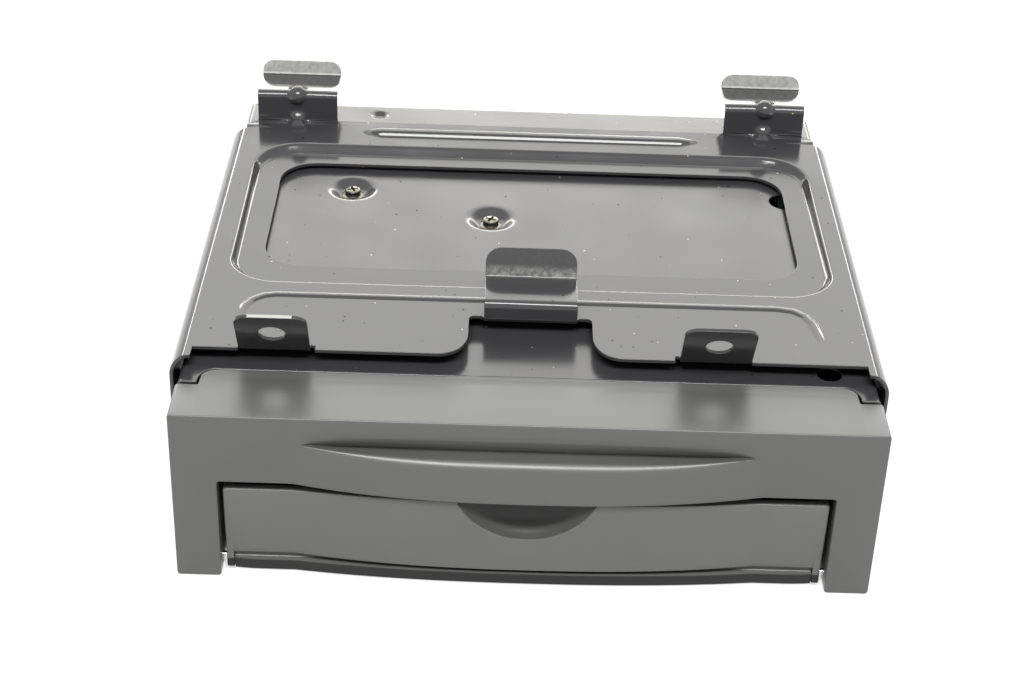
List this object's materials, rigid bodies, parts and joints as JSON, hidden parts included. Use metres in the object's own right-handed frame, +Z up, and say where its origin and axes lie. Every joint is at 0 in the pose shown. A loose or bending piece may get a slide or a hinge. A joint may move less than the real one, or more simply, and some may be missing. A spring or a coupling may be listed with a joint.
{
  "type": "car navigation disc reader",
  "caption": "Slot-in disc reader for a vehicle: a steel case behind a moulded bezel with a fall-front flap, in a pressed steel bracket with ears and hooks.",
  "frame": {"origin": "bottom centre of the whole reader's box", "axes": "+X to the right seen from the front, -Y out of the front face, +Z up from the underside"},
  "size_m": [0.1846, 0.1898, 0.0697],
  "materials": {
    "bezel_plastic": "moulded, fine texture",
    "flap_plastic": "moulded, fine texture",
    "inner_plastic": "moulded black",
    "natural_plastic": "moulded acetal",
    "coated_steel": "satin coating",
    "lid_steel": "satin coating",
    "galvanised_steel": "galvanised sheet",
    "bright_steel": "turned bar",
    "nickel": "nickel plated",
    "felt": "black felt",
    "clear_lens": "polished",
    "rubber": "moulded",
    "board": "green solder mask",
    "chip": "black moulding compound",
    "can": "plain",
    "connector_plastic": "moulded",
    "brass": "turned"
  },
  "bodies": {
    "case": {"front_bezel": "bezel_plastic", "flap_hinge_pins": "bright_steel", "flap_spring": "bright_steel", "slot_fascia": "inner_plastic", "slot_felts": "felt", "indicator_lens": "clear_lens", "eject_switch": "inner_plastic", "switch_board": "board", "lower_chassis": "galvanised_steel", "top_cover": "lid_steel", "rear_panel": "galvanised_steel", "main_connector": "connector_plastic", "antenna_socket": "brass", "display_socket": "brass", "mounting_bracket": "coated_steel", "bracket_screws": "galvanised_steel", "cover_screws": "nickel", "mech_frame": "galvanised_steel", "damper_grommets": "rubber", "mech_screws": "bright_steel", "spindle_motor": "galvanised_steel", "clamp_arm_pin": "bright_steel", "clamp_arm_spring": "bright_steel", "disc_guide": "inner_plastic", "idler_pin": "bright_steel", "loading_motor": "galvanised_steel", "guide_rods": "bright_steel", "rod_holders": "inner_plastic", "sled_motor": "galvanised_steel", "drive_board": "board", "drive_chips": "chip", "main_board": "board", "processor_chips": "chip", "capacitors": "can", "receiver_shield": "galvanised_steel", "board_posts": "brass", "board_screws": "bright_steel", "ribbon_cable": "connector_plastic", "heat_sink": "can"},
    "flap": {"flap_door": "flap_plastic"},
    "eject": {"eject_button": "inner_plastic"},
    "spindle": {"turntable": "inner_plastic"},
    "arm": {"clamp_arm": "galvanised_steel"},
    "clamper": {"disc_clamper": "inner_plastic"},
    "roller": {"roller_shaft": "bright_steel", "loading_roller": "rubber", "roller_gear": "natural_plastic"},
    "idler": {"idler_gear": "natural_plastic"},
    "pinion": {"motor_pinion": "brass"},
    "sled": {"pickup_sled": "can", "pickup_lens": "clear_lens"},
    "lead": {"lead_screw": "bright_steel"}
  },
  "joints": [
    {"name": "flap_hinge", "type": "hinge", "parent": "case", "child": "flap", "pos_m": [0, -0.08605, 0.0032], "axis": [1, 0, 0], "range_deg": [0, 80], "stiffness_Nm_per_rad": 0.004, "springref_deg": -28.65},
    {"name": "eject_press", "type": "slide", "parent": "case", "child": "eject", "axis": [0, 1, 0], "range_m": [0, 0.0008], "stiffness_N_per_m": 400, "springref_m": -0.0008},
    {"name": "turntable_spin", "type": "hinge", "parent": "case", "child": "spindle", "pos_m": [0, -0.00105, 0.01], "axis": [0, 0, 1], "continuous": true},
    {"name": "clamp_arm_lower", "type": "hinge", "parent": "case", "child": "arm", "pos_m": [0, 0.05695, 0.0193], "axis": [1, 0, 0], "range_deg": [0, 2], "stiffness_Nm_per_rad": 0.05, "springref_deg": -34.38},
    {"name": "clamper_spin", "type": "hinge", "parent": "arm", "child": "clamper", "pos_m": [0, -0.00105, 0.022], "axis": [0, 0, 1], "continuous": true},
    {"name": "roller_spin", "type": "hinge", "parent": "case", "child": "roller", "pos_m": [0, -0.06405, 0.0124], "axis": [1, 0, 0], "continuous": true},
    {"name": "idler_spin", "type": "hinge", "parent": "case", "child": "idler", "pos_m": [0.07, -0.04926, 0.0149], "axis": [1, 0, 0], "continuous": true},
    {"name": "pinion_spin", "type": "hinge", "parent": "case", "child": "pinion", "pos_m": [0.07, -0.03939, 0.009], "axis": [1, 0, 0], "continuous": true},
    {"name": "sled_travel", "type": "slide", "parent": "case", "child": "sled", "axis": [0, 1, 0], "range_m": [0, 0.028]},
    {"name": "lead_screw_spin", "type": "hinge", "parent": "case", "child": "lead", "pos_m": [0.036, 0.03795, 0.0112], "axis": [0, 1, 0], "range_deg": [-3361, 0]}
  ],
  "couplings": [
    {"joint": "idler_spin", "follows": "roller_spin", "ratio": -0.66667},
    {"joint": "pinion_spin", "follows": "roller_spin", "ratio": 2.4},
    {"joint": "lead_screw_spin", "follows": "sled_travel", "rad_per_m": -2094.4}
  ]
}
